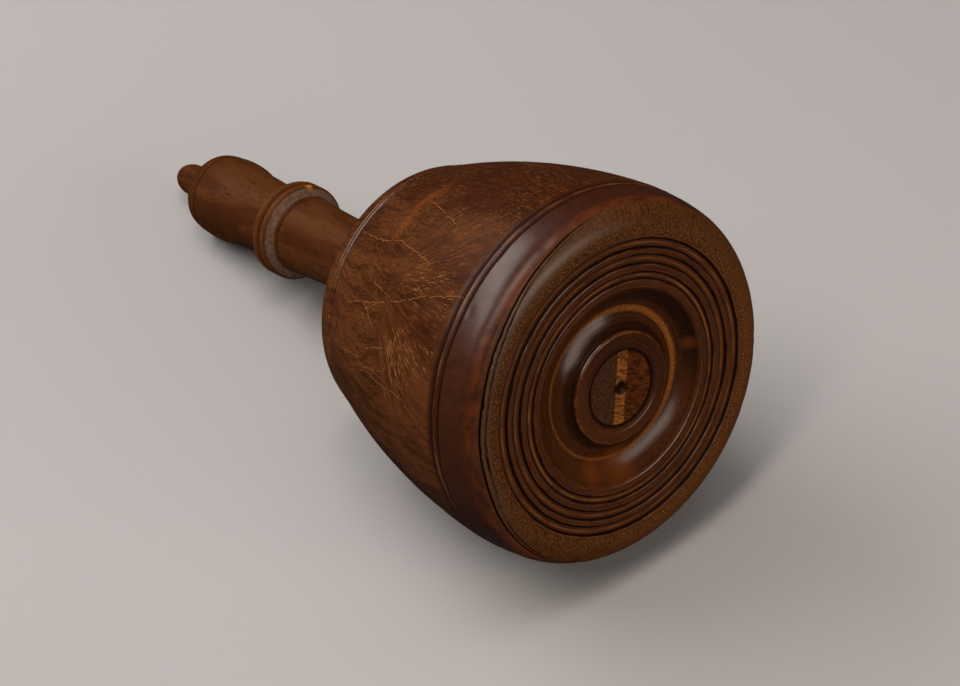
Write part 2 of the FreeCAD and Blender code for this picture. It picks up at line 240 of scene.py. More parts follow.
# ---- Turned meshes ----
def turned_mesh(name, profile, normals, ring, segments, worn):
    """A closed mesh of revolution. worn(radius, depth, angle) is how far each point has moved along
    its outward normal, so it is negative where wood is lost."""
    angles = np.radians(np.arange(segments) * 360.0 / segments - 90.0)
    radius, depth = profile[:, :1], profile[:, 1:]
    travel = worn(radius, depth, angles[None, :])
    radius = np.maximum(radius + normals[:, :1] * travel, 0.0)
    depth = depth + normals[:, 1:] * travel
    flat = (radius * np.cos(angles), radius * np.sin(angles))
    grid = np.stack([*flat, depth * np.ones_like(angles)], axis=-1)
    poles = [] if ring else [i for i in (0, len(profile) - 1) if profile[i, 0] < 0.01]
    rows, points = [], []
    for i, row in enumerate(grid):
        if i in poles:
            rows.append([len(points)] * segments)
            points.append(row.mean(axis=0))
        else:
            rows.append(list(range(len(points), len(points) + segments)))
            points.extend(row)
    faces = []
    pairs = list(zip(rows, rows[1:])) + ([(rows[-1], rows[0])] if ring else [])
    for low, high in pairs:
        for j in range(segments):
            k = (j + 1) % segments
            # at a pole two of the four corners are the same vertex, which leaves a triangle
            faces.append(list(dict.fromkeys([low[j], low[k], high[k], high[j]])))
    mesh = bpy.data.meshes.new(name)
    mesh.from_pydata(to_world(np.array(points)).tolist(), [], faces)
    return settled(mesh)


def settled(mesh):
    """The same mesh with outward normals and smooth shading up to real edges."""
    shape = bmesh.new()
    shape.from_mesh(mesh)
    bmesh.ops.recalc_face_normals(shape, faces=shape.faces)
    shape.to_mesh(mesh)
    shape.free()
    mesh.shade_smooth()
    mesh.set_sharp_from_angle(angle=math.radians(55))
    mesh.validate()
    return mesh


def new_object(name, mesh):
    piece = bpy.data.objects.new(name, mesh)
    bpy.context.scene.collection.objects.link(piece)
    return piece


def cut(piece, tool, operation):
    """Applies an exact boolean of piece with tool and removes the tool."""
    boolean = piece.modifiers.new("cut", "BOOLEAN")
    boolean.object = tool
    boolean.operation = operation
    boolean.solver = "EXACT"
    shaped = piece.evaluated_get(bpy.context.evaluated_depsgraph_get())
    piece.data = settled(bpy.data.meshes.new_from_object(shaped))
    piece.modifiers.clear()
    bpy.data.objects.remove(tool)


def store(piece, name, values):
    """Stores a number, or a row of three, for every vertex."""
    values = np.asarray(values, np.float32)
    kind, field = ("FLOAT", "value") if values.ndim == 1 else ("FLOAT_VECTOR", "vector")
    piece.data.attributes.new(name, kind, "POINT").data.foreach_set(field, values.ravel())


def mark_place(piece):
    """Stores each vertex's place in the turning frame, and returns the places."""
    turned = turned_points(piece.data)
    store(piece, "turning", turned)
    return turned


def mark_surface(piece, outline):
    """Stores each vertex's place and the measures of the outline's nearest point."""
    turned = mark_place(piece)
    tree = KDTree(len(outline.points))
    for i, (radius, depth) in enumerate(outline.points):
        tree.insert((radius, depth, 0), i)
    tree.balance()
    nearest = [tree.find((math.hypot(x, y), depth, 0))[1] for x, y, depth in turned]
    for name, values in outline.measures.items():
        store(piece, name, values[nearest])
    return turned


# ---- Wear: smooth fields over angle and depth, all of them seeded ----
def waves(rng, count, max_turns, depth_scale):
    """A smooth random field of angle and depth between 0 and 1."""
    turns = rng.integers(0, max_turns + 1, count)
    pitch = rng.uniform(-1, 1, count) / depth_scale
    phase = rng.uniform(0, 2 * math.pi, count)

    def field(angle, depth):
        total = sum(np.sin(n * angle + 2 * math.pi * p * depth + q) for n, p, q in zip(turns, pitch, phase))
        return np.clip(0.5 + total / (2.2 * math.sqrt(count)), 0, 1)

    return field


def dents(rng, count, depth_range, radius_at, size_range, cut_range):
    """Shallow knocks scattered over a stretch of the side, as a field of inward travel."""
    places = [(rng.uniform(0, 2 * math.pi), rng.uniform(*depth_range), rng.uniform(*size_range),
               rng.uniform(*cut_range), rng.uniform(0.5, 1.6)) for _ in range(count)]

    def field(angle, depth):
        total = np.zeros(np.broadcast(angle, depth).shape)
        for place_angle, place_depth, size, sunk, stretch in places:
            around = (angle - place_angle + math.pi) % (2 * math.pi) - math.pi
            away = (around * radius_at / size) ** 2 + ((depth - place_depth) / (size * stretch)) ** 2
            total = np.maximum(total, sunk * np.exp(-away))
        return total

    return field


def scored_turn(angle):
    """Degrees round the corner from the place where the scored line sets in."""
    return (np.degrees(angle) - 60.0) % 360.0


def scored_depth(angle):
    """Depth at which the scored line runs round the rounded corner of the face."""
    climb = np.clip((95.0 - scored_turn(angle)) / 70.0, 0, 1)
    fall = np.clip((scored_turn(angle) - 125.0) / 60.0, 0, 1)
    uneven = 0.05 * np.sin(5 * angle) + 0.02 * np.sin(13 * angle)
    return 1.05 + 2.4 * climb ** 1.5 + 2.6 * fall ** 1.5 + uneven


def scored_strength(angle):
    """1 where the scored line is cut deep, 0 where it has been rubbed away."""
    turn = scored_turn(angle)
    return np.clip((turn - 20.0) / 50.0, 0, 1) * np.clip((185.0 - turn) / 45.0, 0, 1)


# ---- Head ----
HEAD_SEGMENTS = 300
BORE_RADIUS = 11.25
SCORED_RADIUS = 48.0
FACE_CUTS_END = 5.2
BAND_END = 17.5


def head_spacing(radius, depth):
    """Rings are finest at the scored line, fine on the face and few in the bore."""
    if radius < BORE_RADIUS + 0.05:
        return 9.0
    if radius > SCORED_RADIUS and depth < 3.6:
        return 0.18
    if depth < FACE_CUTS_END:
        return 0.45
    return 0.9 if depth < 13.0 else 2.6


def head_wear(rng, outline):
    knocks = dents(rng, 60, (18, 80), 50.0, (1.5, 4.5), (0.04, 0.16))
    rim_knocks = dents(rng, 26, (0, 12), 54.0, (0.9, 2.2), (0.06, 0.22))
    broad = waves(rng, 7, 5, 90.0)
    tool = waves(rng, 9, 3, 6.0)
    nibble = waves(rng, 14, 40, 30.0)
    proud = outline.proud[outline.picked][:, None]

    def worn(radius, depth, angle):
        outside = np.clip((radius - BORE_RADIUS - 0.3) / 2.0, 0, 1)
        behind_band = np.clip((radius - 40.0) / 6.0, 0, 1) * np.clip((depth - BAND_END) / 2.0, 0, 1)
        loss = (0.16 * broad(angle, depth) + 0.012 * tool(angle, depth)) * outside
        loss = loss + knocks(angle, depth) * behind_band
        loss = loss + rim_knocks(angle, depth) * np.clip((radius - 45.0) / 3.0, 0, 1)
        loss = loss + 1.6 * proud * np.clip(nibble(angle, depth) - 0.62, 0, 1) * outside
        past_line = depth - scored_depth(angle)
        first = 0.34 * np.exp(-(past_line / 0.28) ** 2) * np.clip(radius - SCORED_RADIUS, 0, 1)
        second = 0.14 * np.exp(-((past_line + 0.62) / 0.2) ** 2) * (radius > SCORED_RADIUS)
        return -(loss + (first + second) * scored_strength(angle))

    return worn


# Long fine cracks in the side, each as (angle in degrees, depth) points.
CRACKS = [
    [(124, 79), (125, 63), (123, 55), (126, 38)],
    [(149, 72), (148.5, 66), (146, 60), (151, 51)],
    [(139, 56), (141, 45)],
    [(149, 68), (145, 55), (140, 40), (136, 32), (133, 22), (131, 16.5)],
    [(166, 69), (164, 57), (166, 53), (163, 43)],
    [(167, 47), (167, 31), (173, 20)],
    [(159, 52), (155, 41)],
    [(106, 57), (109, 47), (112, 38)],
]


def more_cracks(rng, count):
    """Cracks like the listed ones on the rest of the side."""
    cracks = []
    for _ in range(count):
        angle, depth = rng.uniform(190, 450), rng.uniform(45, 78)
        crack = [(angle, depth)]
        for _ in range(rng.integers(2, 5)):
            angle += rng.uniform(-5, 5)
            depth -= rng.uniform(5, 14)
            crack.append((angle, max(depth, 19)))
        cracks.append(crack)
    return cracks


def crack_field(turned, cracks):
    """For each point: signed distance to the nearest crack, travel along it, and nearness from 0 to 1."""
    angle = np.degrees(np.arctan2(turned[:, 1], turned[:, 0]))
    radius = np.hypot(turned[:, 0], turned[:, 1])
    best = np.full(len(turned), 99.0)
    found = np.zeros((len(turned), 3))
    for number, crack in enumerate(cracks):
        travel = 7.0 * number
        for (angle_a, depth_a), (angle_b, depth_b) in zip(crack, crack[1:]):
            around = np.radians((angle - angle_a + 180) % 360 - 180) * radius
            run = np.array([math.radians(angle_b - angle_a) * 50.0, depth_b - depth_a])
            size = np.linalg.norm(run)
            run = run / size
            along = around * run[0] + (turned[:, 2] - depth_a) * run[1]
            aside = around * run[1] - (turned[:, 2] - depth_a) * run[0]
            beyond = np.maximum(0, np.maximum(-along, along - size))
            away = np.hypot(aside, beyond)
            closer = away < best
            best = np.where(closer, away, best)
            near = np.clip(1.6 - away / 1.8, 0, 1) * np.clip(1 - beyond / 1.2, 0, 1)
            found = np.where(closer[:, None], np.stack([aside, travel + along, near], axis=1), found)
            travel += size
    return found


def make_head():
    rng = np.random.default_rng(SEED)
    outline = Outline("head", 0.09, head_spacing)
    mesh = turned_mesh("head_turned", outline.points[outline.picked], outline.normals[outline.picked],
                       outline.ring, HEAD_SEGMENTS, head_wear(rng, outline))
    piece = new_object("head_turned", mesh)
    turned = mark_surface(piece, outline)
    store(piece, "crack", crack_field(turned, CRACKS + more_cracks(rng, 14)))
    angle = np.arctan2(turned[:, 1], turned[:, 0])
    inside = (np.hypot(turned[:, 0], turned[:, 1]) < 47.5) & (turned[:, 2] < 9)
    store(piece, "score", np.where(inside, -9.0, turned[:, 2] - scored_depth(angle)))
    store(piece, "score_strength", scored_strength(angle))
    return piece


# ---- Handle and wedge ----
HANDLE_SEGMENTS = 192
WEDGE_SEGMENTS = 144
TENON_RADIUS = 11.15
NECK_START, COLLAR_START = 94.0, 150.0
DENT_ANGLE, DENT_RADIUS, DENT_DEPTH = 68.0, 15.3, 156.4
DENT_WIDTH, DENT_LENGTH, DENT_CUT = 0.918, 1.2, 0.45
MARK_RADIUS, MARK_CUT = 1.85, 2.5
TOWARDS_SEAM = np.array([math.cos(math.radians(SEAM)), math.sin(math.radians(SEAM)), 0.0])


def wedge_slab(name, gap, past_end, waviness, rng):
    """The wedge's taper as a slab across the whole tenon, wider by a gap on both sides and past_end
    longer at its thin end, with uneven sides."""
    points = turned_points(frame["nodes"]["wedge"].data)
    half, depths = np.abs(points @ TOWARDS_SEAM), points[:, 2]
    start, end = depths.min(), depths.max()
    half_start, half_end = half[depths < start + 0.01].max(), half[depths > end - 0.01].max()
    slope = (half_start - half_end) / (end - start)
    past_start = 1.0
    ends = ((half_start + slope * past_start + gap, start - past_start),
            (half_end - slope * past_end + gap, end + past_end))

    reach = TENON_RADIUS * 1.6
    steps = 40
    wide = np.array([-TOWARDS_SEAM[1], TOWARDS_SEAM[0], 0.0])
    wobbles = [waves(rng, 6, 6, 20.0) for _ in range(2)]
    points, faces = [], []
    for i in range(steps + 1):
        across = reach * (2 * i / steps - 1)
        for thick, depth in ends:
            for side, wobble in zip((-1, 1), wobbles):
                sway = waviness * (2 * wobble(across / 3.0, depth) - 1)
                points.append(side * (thick + sway) * TOWARDS_SEAM + across * wide + np.array([0, 0, depth]))
    for i in range(steps):
        a, b = 4 * i, 4 * i + 4
        for j, k in ((0, 1), (1, 3), (3, 2), (2, 0)):
            faces.append([a + j, a + k, b + k, b + j])
    faces += [[0, 1, 3, 2], [4 * steps + 2, 4 * steps + 3, 4 * steps + 1, 4 * steps]]
    mesh = bpy.data.meshes.new(name)
    mesh.from_pydata(to_world(np.array(points)).tolist(), [], faces)
    return new_object(name, settled(mesh))


def handle_spacing(radius, depth):
    """Rings are finest on the collar and few along the tenon, which the head's bore hides."""
    if depth < 1.2:
        return 0.8
    if depth < NECK_START - 4.0:
        return 8.0
    if depth < COLLAR_START:
        return 1.5
    return 0.3 if depth < COLLAR_START + 16.0 else 0.8


def handle_wear(rng, outline):
    knocks = dents(rng, 34, (95, 225), 13.0, (0.8, 2.4), (0.03, 0.13))
    broad = waves(rng, 6, 3, 60.0)
    nibble = waves(rng, 14, 26, 20.0)
    proud = outline.proud[outline.picked][:, None]

    def worn(radius, depth, angle):
        outside = np.clip((depth - NECK_START) / 2.0, 0, 1)
        loss = (0.10 * broad(angle, depth) + knocks(angle, depth)) * outside
        loss = loss + proud * np.clip(nibble(angle, depth) - 0.6, 0, 1) * outside
        around = (angle - math.radians(DENT_ANGLE)) * DENT_RADIUS
        away = (around / DENT_WIDTH) ** 2 + ((depth - DENT_DEPTH) / DENT_LENGTH) ** 2
        return -(loss + DENT_CUT * np.exp(-away)) * np.clip(radius / 2.0, 0, 1)

    return worn


def make_handle():
    rng = np.random.default_rng(SEED + 1)
    outline = Outline("handle", 0.10, handle_spacing)
    mesh = turned_mesh("handle_turned", outline.points[outline.picked], outline.normals[outline.picked],
                       outline.ring, HANDLE_SEGMENTS, handle_wear(rng, outline))
    piece = new_object("handle_turned", mesh)
    cut(piece, wedge_slab("kerf", 0.06, 2.0, 0.0, rng), "DIFFERENCE")
    mark_surface(piece, outline)
    return piece


def make_wedge():
    """The wedge is a round plug with the centre mark's cone in it, cut down to the tapered slab."""
    rng = np.random.default_rng(SEED + 2)
    depths = turned_points(frame["nodes"]["wedge"].data)[:, 2]
    start, end = depths.min(), depths.max()
    mark = [(r, start + MARK_CUT * (1 - r / MARK_RADIUS) ** 0.9) for r in np.linspace(0, MARK_RADIUS, 7)]
    front = [(r, start) for r in np.arange(MARK_RADIUS + 0.15, TENON_RADIUS - 0.3, 0.4)]
    side = [(TENON_RADIUS - 0.04, depth) for depth in np.linspace(start + 0.25, end, 12)]
    back = [(r, end) for r in np.arange(TENON_RADIUS - 1, 0.5, -1.0)]
    profile = np.array(mark + front + side + back + [(0.0, end)])
    mesh = turned_mesh("wedge_slip", profile, np.zeros_like(profile), False, WEDGE_SEGMENTS,
                       lambda radius, depth, angle: 0.0)
    piece = new_object("wedge_slip", mesh)
    cut(piece, wedge_slab("slip", 0.0, 1.0, 0.04, rng), "INTERSECT")
    mark_place(piece)
    return piece


# ---- Shorthand for material nodes: lengths in the patterns are millimetres ----
def new_material(name):
    material = bpy.data.materials.new(name)
    material.use_nodes = True
    material.node_tree.nodes.clear()
    return material


def new_node(tree, kind, inputs, **settings):
    made = tree.nodes.new("ShaderNode" + kind)
    for key, value in settings.items():
        setattr(made, key, value)
    for key, value in inputs.items():
        if isinstance(value, bpy.types.NodeSocket):
            tree.links.new(value, made.inputs[key])
        else:
            made.inputs[key].default_value = value
    return made


def stored(tree, name, output="Fac"):
    """A number stored on the mesh, or a row of three with the output Vector."""
    return new_node(tree, "Attribute", {}, attribute_name=name).outputs[output]


def fed(kind, inputs, **settings):
    """The outputs of a new node in the same tree as the first socket that feeds it."""
    feed = next(value for value in inputs.values() if isinstance(value, bpy.types.NodeSocket))
    return new_node(feed.id_data, kind, inputs, **settings).outputs


def split(vector):
    return fed("SeparateXYZ", {"Vector": vector})[:]


def join(x, y, z=0.0):
    return fed("CombineXYZ", {"X": x, "Y": y, "Z": z})[0]


def calculate(operation, a, b=0.0):
    return fed("Math", {0: a, 1: b}, operation=operation)[0]


def times(*values):
    return reduce(partial(calculate, "MULTIPLY"), values)


def plus(*values):
    return reduce(partial(calculate, "ADD"), values)


def either(*values):
    return reduce(partial(calculate, "MAXIMUM"), values)


def absolute(value):
    return calculate("ABSOLUTE", value)


def past(angle, direction):
    """Radians from a direction, in degrees of the turning frame, to an angle from straight up."""
    return plus(angle, -math.radians(direction - 90.0))


def towards(angle, direction):
    """1 in a direction from the axis, and -1 opposite it."""
    return calculate("COSINE", past(angle, direction))


def scaled(vector, x, y, z):
    return fed("VectorMath", {0: vector, 1: (x, y, z)}, operation="MULTIPLY")[0]


def rotated(vector, degrees):
    """The vector turned about the axis of the turning frame."""
    return fed("VectorRotate", {"Vector": vector, "Angle": math.radians(degrees)}, rotation_type="Z_AXIS")[0]


def shifted(vector, offset):
    return fed("VectorMath", {0: vector, 1: offset}, operation="ADD")[0]


def length(vector):
    return fed("VectorMath", {0: vector}, operation="LENGTH")["Value"]


def away_from(point, angle, radius, depth):
    """Distance from a place on the surface, whose angle is in degrees."""
    turn = math.radians(angle)
    return length(shifted(point, (-radius * math.cos(turn), -radius * math.sin(turn), -depth)))


def noise(vector, scale, detail=3.0, rough=0.55, twist=0.0):
    return fed("TexNoise", {"Vector": vector, "Scale": scale, "Detail": detail, "Roughness": rough,
                            "Distortion": twist})["Fac"]


def patches(x, x_scale, y, y_scale, layer=0.0, detail=3.0, rough=0.55):
    """Noise over two values, each at its own scale, that differs from layer to layer."""
    return noise(join(times(x, x_scale), times(y, y_scale), layer), 1.0, detail, rough)


def band(value, low, high):
    """0 below low, 1 above high, with a soft step; low may be the larger one."""
    inputs = {"Value": value, "From Min": low, "From Max": high}
    return fed("MapRange", inputs, interpolation_type="SMOOTHSTEP")[0]


def between(value, start, full, fade, stop):
    """1 from full to fade, and 0 before start and after stop."""
    return times(band(value, start, full), band(value, stop, fade))


def spread(value, low, high, to_low, to_high):
    """Takes low to high evenly onto to_low to to_high, and holds the ends beyond them."""
    return fed("MapRange", {"Value": value, "From Min": low, "From Max": high, "To Min": to_low,
                            "To Max": to_high})[0]


def uneven(pattern, low, high):
    """Takes a noise's usual range onto low to high."""
    return spread(pattern, 0.3, 0.7, low, high)


def mix(amount, a, b):
    """Plain mix of two values."""
    return fed("Mix", {0: amount, 2: a, 3: b}, data_type="FLOAT")[0]


def blend(amount, a, b):
    """Plain mix of two colours."""
    colors = [x if isinstance(x, bpy.types.NodeSocket) else (*x, 1.0) for x in (a, b)]
    return fed("Mix", {0: amount, 6: colors[0], 7: colors[1]}, data_type="RGBA")[2]


def paint(color, tint, *amounts):
    """The colour covered by a tint as far as all the amounts multiplied together."""
    return blend(times(*amounts), color, tint)


def finish(color, roughness, height, shine, more=()):
    """Principled surface with a relief of this height in millimetres, and more of its inputs."""
    bump = fed("Bump", {"Strength": 1.0, "Distance": MM, "Height": height})[0]
    surface = fed("BsdfPrincipled", {"Base Color": color, "Roughness": roughness, "Normal": bump,
                                     "Specular IOR Level": shine, **dict(more)})[0]
    fed("OutputMaterial", {"Surface": surface})


def turned_place(tree):
    """The shaded point in the turning frame: its x, y, depth, radius, and angle from straight up."""
    at = SimpleNamespace(tree=tree, point=stored(tree, "turning", "Vector"))
    at.x, at.y, at.depth = split(at.point)
    at.radius = length(join(at.x, at.y))
    at.angle = calculate("ARCTAN2", times(at.x, -1.0), at.y)
    return at


def right_of_wedge(at):
    """Distance from the wedge's middle plane, positive on its right."""
    return plus(times(at.x, TOWARDS_SEAM[0]), times(at.y, TOWARDS_SEAM[1]))


# ---- Head's wood: dark, dense and red-brown, with old varnish, light bruises and end grain ----
UMBER = (0.024, 0.0066, 0.0018)
FACE_BROWN = (0.095, 0.0265, 0.006125)
RUBBED = (0.330, 0.1112, 0.0236)
CRACK = (0.3675, 0.14195, 0.0346)
OLIVE = (0.112, 0.0425, 0.0088)
SHEEN_GREY = (0.090, 0.050, 0.028)
EMBER = (0.27, 0.062, 0.006)
TAN = (0.42, 0.185, 0.050)
STRAW = (0.300, 0.105, 0.022)
BLACK_BROWN = (0.0034, 0.0012, 0.0005)
SIDE_DARK, SIDE_LIGHT = (0.050, 0.0115, 0.0026), (0.110, 0.0340, 0.0084)
BAND_VARNISH = (0.040, 0.0085, 0.0022)
FACE_RED, FACE_WARM = (0.120, 0.030, 0.0060), (0.140, 0.046, 0.0090)
CORNER_RED = (0.150, 0.032, 0.0060)
GROOVE_FLOOR = (0.27, 0.095, 0.014)
DISH_DARK, DISH_LIGHT = (0.19, 0.056, 0.007), (0.45, 0.158, 0.026)
HAIR = (0.46, 0.190, 0.050)
CHIP = (0.46, 0.31, 0.18)

# Directions seen from the axis, in degrees of the turning frame's angle.
RIGHT, UPPER_RIGHT, UPPER_LEFT = 15.52, 47.03, 144.43
# direction towards which the side is painted lighter, as painted light, and away from which it is painted
# darker, as painted shade
LIT_SIDE = 152.0
KNOT_ANGLE, KNOT_DEPTH = 137.0, 53.0
SIDE_RADIUS = 51.0
STREAK_ANGLE, STREAK_DEPTH = 109.48, 59.5
# Light chips as (angle, depth, size), and ember patches on the face as (angle, radius, size).
CHIPS = [(174, 48, 0.75), (105, 70, 0.4), (115, 55, 0.4), (121, 62, 0.45)]
RING_PATCHES = [(2, 27.2, 1.5), (262, 24.0, 4.0), (240, 25.5, 2.5)]
# The side's radius is BELL_RADIUS less the square of the depth past BELL_DEPTH, over BELL_BOW.
BELL_RADIUS, BELL_DEPTH, BELL_BOW = 55.4, 18.0, 390.0
# Radii at which a ring of the face begins, is full, fades and ends.
DISH = (16.2, 17.2, 28.4, 29.6)
DISH_EDGE = (24.0, 26.5, 28.6, 29.4)
BOSS_FOOT = (16.3, 17.0, 18.0, 20.0)


def side_strokes(at):
    """The side's fine fibre and broad streaks, and short light bruises that fan out from a knot."""
    aside = times(past(at.angle, KNOT_ANGLE), SIDE_RADIUS)
    ahead = plus(times(at.depth, -1.0), KNOT_DEPTH)
    bearing = calculate("ARCTAN2", aside, ahead)
    away = length(join(aside, ahead))
    sway = times(patches(at.around, 0.035, at.depth, 0.035, 0.105, 1.0), 14.0)
    axial = join(plus(at.around, sway), times(at.depth, 0.14))
    fan = join(times(bearing, 26.0), times(away, 0.12), 9.0)
    in_fan = times(between(away, 4.0, 12.0, 30.0, 46.0),
                   band(absolute(bearing), 1.5, 0.8))

    def both(scale, detail, rough, offset):
        """The same noise along the plain grain and along the fan, mixed by their values."""
        plain = noise(shifted(axial, offset), scale, detail, rough)
        spread = noise(shifted(fan, offset), scale, detail, rough)
        return mix(in_fan, plain, spread)

    fibre = both(1.7, 3.0, 0.65, (0.0, 0.0, 0.0))
    broad = both(0.42, 3.0, 0.55, (9.0, 4.0, 2.0))
    hair = both(3.6, 1.0, 0.4, (31.0, 7.0, 5.0))
    cluster = patches(at.around, 0.06, at.depth, 0.06, 0.84, 3.0, 0.6)
    crowded = times(either(in_fan, 0.35), band(cluster, 0.38, 0.60))
    return fibre, broad, times(band(hair, 0.618, 0.642), crowded)


def groove_masks(at):
    """Painted shade on the walls of the face's turned cuts, and painted shade in their hollow corners."""
    off_boss = either(band(at.radius, 19.0, 20.0), band(at.radius, 12.5, 11.5))
    # painted shade on the steep walls of the cuts, away from the boss
    walled = times(band(stored(at.tree, "wall"), 0.16, 0.42), at.shallow, off_boss,
                   spread(at.patchy, 0.35, 0.65, 1.0, 0.75))
    # painted shade in the hollow corners, weaker at the boss
    dirty = times(band(stored(at.tree, "hollow"), 0.035, 0.10), either(off_boss, 0.35))
    return walled, dirty


def scored_masks(at):
    """The double line scored round the face's corner, and the strip inside it on the upper left, where a
    grey painted reflection goes.
    """
    wander = uneven(noise(join(at.around, 0.0, 6.0), 0.5, 2.0), -0.05, 0.05)
    line = plus(at.score, wander)
    first = band(absolute(line), 0.27, 0.15)
    second = times(band(absolute(plus(line, 0.66)), 0.18, 0.08),
                   spread(at.patchy, 0.35, 0.6, 0.35, 1.0))
    scored = times(either(first, second), band(stored(at.tree, "score_strength"), 0.02, 0.5))
    # painted reflection: where a grey sheen is painted inside the scored line, on the upper left
    strip = times(band(at.radius, 46.3, 48.3), band(at.score, 0.2, -0.5),
                  band(towards(at.angle, UPPER_LEFT), 0.2, 0.85))
    return scored, strip


def crack_masks(at):
    """The open cracks of the side, and painted shade along one side of each of them."""
    aside, travel, near = split(stored(at.tree, "crack", "Vector"))
    crooked = noise(join(travel, 0.0, 2.0), 0.30, 4.0, 0.7)
    aside = plus(aside, uneven(crooked, -0.42, 0.42))
    opening = noise(join(travel, 5.0, 0.0), 0.35, 2.0)
    crack = times(band(absolute(aside), 0.22, 0.05), near, band(opening, 0.34, 0.50))
    # painted shade: a dark line offset to one side of each crack
    edge = times(band(absolute(plus(aside, 0.28)), 0.30, 0.08), near)
    return crack, edge


def head_place(tree):
    """The turned place with the noises and masks that several parts of the head's wood share."""
    at = turned_place(tree)
    at.around = times(at.angle, SIDE_RADIUS)
    at.score = stored(at.tree, "score")
    at.on_side = band(at.score, -0.1, 0.9)
    at.on_face = calculate("SUBTRACT", 1.0, at.on_side)
    at.by_face = band(at.depth, 17.8, 16.8)
    at.on_rim = band(at.radius, 43.0, 46.5)
    at.on_rings = band(at.radius, 45.0, 43.0)
    at.in_dish = between(at.radius, *DISH)
    at.shallow = band(at.depth, 5.0, 3.0)
    at.grit = noise(at.point, 2.4, 2.0, 0.6)
    at.speck = patches(at.angle, 112.2, at.radius, 1.53, 0.0, 3.0, 0.75)
    at.tool = patches(at.radius, 1.7, at.angle, 0.8, 4.0, 3.0, 0.65)
    at.patchy = patches(at.angle, 5.0, at.radius, 0.5, 1.0, 3.0, 0.6)
    at.fibre, at.broad, at.hair = side_strokes(at)
    at.walled, at.dirty = groove_masks(at)
    at.scored, at.strip = scored_masks(at)
    at.crack, at.crack_edge = crack_masks(at)
    return at


def side_color(at):
    """Warm brown under dark clouds, streaked along the grain, darker on the band by the face. Painted light
    makes it lighter towards the upper left, and painted shade darker away from there.
    """
    figure = noise(scaled(at.point, 1.0, 1.0, 0.35), 0.045, 3.0, 0.55, 0.8)
    # painted light and shade: the side's figure is raised towards the upper left and lowered away from it
    off_lit_side = absolute(past(at.angle, LIT_SIDE))
    figure = plus(figure, spread(off_lit_side, 0.2, 1.0, 0.14, -0.12))
    color = blend(band(figure, 0.38, 0.66), SIDE_DARK, SIDE_LIGHT)
    color = paint(color, UMBER, band(at.broad, 0.44, 0.66), 0.62)
    color = paint(color, UMBER, band(at.fibre, 0.50, 0.34), 0.62)
    color = paint(color, STRAW, band(at.fibre, 0.54, 0.70), 0.30)
    color = paint(color, STRAW, band(at.grit, 0.55, 0.70), 0.10)
    return paint(color, BAND_VARNISH, at.by_face, 0.75)


def face_color(at):
    """End grain: fine specks drawn out towards the centre, with faint rings left by the tool."""
    sector = patches(at.x, 0.045, at.y, 0.045, 2.0, 3.0, 0.5)
    radial = patches(at.angle, 70.0, at.radius, 0.32, 12.0, 3.0, 0.7)
    face = blend(band(at.tool, 0.28, 0.56), UMBER, FACE_BROWN)
    face = paint(face, FACE_RED, band(sector, 0.45, 0.68), 0.6)
    face = paint(face, OLIVE, at.on_rim, uneven(sector, 0.85, 0.35))
    face = paint(face, UMBER, band(radial, 0.56, 0.38), mix(at.on_rim, 0.35, 0.70))
    lower_right = band(towards(at.angle, UPPER_LEFT), -0.1, -0.9)
    face = paint(face, FACE_WARM, at.on_rim, lower_right, 0.55)

    # the specks are strongest on the flat of the rim and fade over its corner
    flat = mix(band(at.radius, 49.0, 46.5), 0.45, 1.0)
    speckled = times(mix(at.on_rim, 0.30, 0.60), flat)
    face = paint(face, TAN, band(at.speck, 0.54, 0.66), speckled)
    face = paint(face, UMBER, band(at.speck, 0.49, 0.38), plus(speckled, 0.3))
    face = paint(face, UMBER, band(at.grit, 0.46, 0.34), 0.4)

    # the dish is darker overall; painted shade darkens its wall at the upper right, the foot of the boss,
    # and the boss towards the upper right
    face = paint(face, UMBER, at.in_dish, 0.20)
    upper_right = towards(at.angle, UPPER_RIGHT)
    under_edge = times(between(at.radius, *DISH_EDGE), band(upper_right, 0.10, 0.75))
    boss_foot = between(at.radius, *BOSS_FOOT)
    face = paint(face, BLACK_BROWN, either(under_edge, boss_foot), 0.72)
    # painted shade on the boss towards the upper right
    face = paint(face, UMBER, band(at.radius, 16.6, 16.0),
                 band(upper_right, -0.5, 0.6), 0.55)
    return paint(face, UMBER, at.on_rings, 0.24)


def add_turned_lines(at, color):
    """Painted shade on the walls and in the corners, tan along the floors of the face's grooves, and rubbed
    edges.
    """
    # painted shade on the walls and in the hollow corners
    color = paint(color, BLACK_BROWN, at.walled, 0.88)
    color = paint(color, BLACK_BROWN, at.dirty, 0.85)
    color = paint(color, GROOVE_FLOOR, band(stored(at.tree, "middle"), 0.42, 0.06), at.shallow,
                  spread(at.patchy, 0.38, 0.60, 0.15, 1.0), 0.78)
    rubbed = times(band(stored(at.tree, "proud"), 0.035, 0.10), band(at.patchy, 0.36, 0.62),
                   band(at.radius, 12.0, 14.0))
    return paint(color, RUBBED, rubbed, 0.35)


